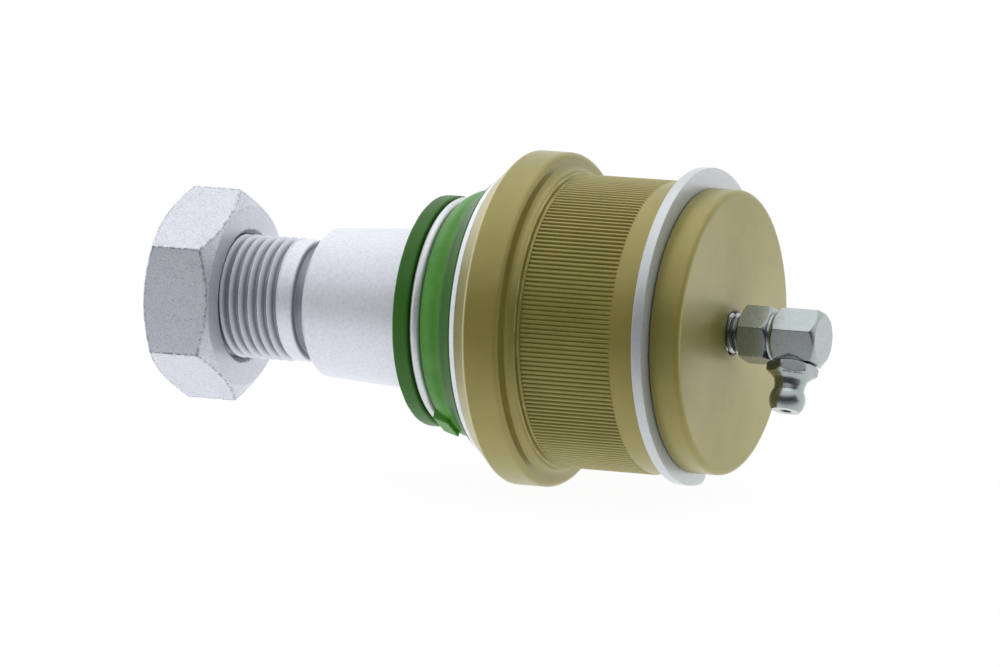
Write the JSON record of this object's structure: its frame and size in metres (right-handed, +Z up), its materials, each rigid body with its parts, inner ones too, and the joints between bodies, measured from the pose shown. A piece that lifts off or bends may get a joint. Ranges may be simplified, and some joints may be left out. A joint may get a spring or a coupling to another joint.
{
  "type": "suspension ball joint",
  "caption": "Press-in suspension ball joint with a flanged, knurled housing, tapered stud with nut, rubber boot, snap ring and angled grease fitting.",
  "frame": {"origin": "centre of the ball, on the joint's axis", "axes": "+X along the joint's axis from the ball to the closed end with the grease fitting, the stud points to -X; +Z is up in the picture's view"},
  "size_m": [0.1352, 0.064, 0.064],
  "materials": {
    "housing_coating": "olive passivated coating, satin",
    "ring_steel": "bright zinc, satin",
    "race_steel": "hardened and ground",
    "spring_steel": "oiled spring steel",
    "stud_coating": "zinc flake coating, matt",
    "nut_coating": "zinc flake coating, matt",
    "boot_rubber": "moulded rubber, satin",
    "snap_ring_coating": "zinc plated, satin",
    "fitting_zinc": "zinc plated, satin"
  },
  "bodies": {
    "housing": {"housing": "housing_coating", "closing_ring": "ring_steel", "upper_race": "race_steel", "disc_spring": "spring_steel", "boot_foot_ring": "spring_steel", "snap_ring": "snap_ring_coating", "grease_elbow": "fitting_zinc", "nipple_body": "fitting_zinc", "check_spring": "spring_steel"},
    "bearing_seat": {"pressure_seat": "race_steel"},
    "boot_collar": {"dust_boot": "boot_rubber", "boot_spring_ring": "ring_steel"},
    "stud": {"ball_stud": "stud_coating"},
    "nut": {"hex_nut": "nut_coating"},
    "check_valve": {"check_ball": "race_steel"}
  },
  "joints": [
    {"name": "swing_heading", "type": "hinge", "parent": "housing", "child": "bearing_seat", "pos_m": [0, 0, 0], "axis": [1, 0, 0], "continuous": true},
    {"name": "stud_tilt", "type": "hinge", "parent": "bearing_seat", "child": "boot_collar", "pos_m": [0, 0, 0], "axis": [0, 1, 0], "range_deg": [-18, 18], "deforming": ["dust_boot"]},
    {"name": "stud_turn", "type": "hinge", "parent": "boot_collar", "child": "stud", "pos_m": [0, 0, 0], "axis": [1, 0, 0], "continuous": true},
    {"name": "nut_turn", "type": "hinge", "parent": "stud", "child": "nut", "pos_m": [-0.08195, 0, 0], "axis": [1, 0, 0], "continuous": true},
    {"name": "check_ball_press", "type": "slide", "parent": "housing", "child": "check_valve", "axis": [0, 0.4067, 0.9135], "range_m": [0, 0.001], "stiffness_N_per_m": 300, "springref_m": -0.002, "deforming": ["check_spring"]}
  ]
}
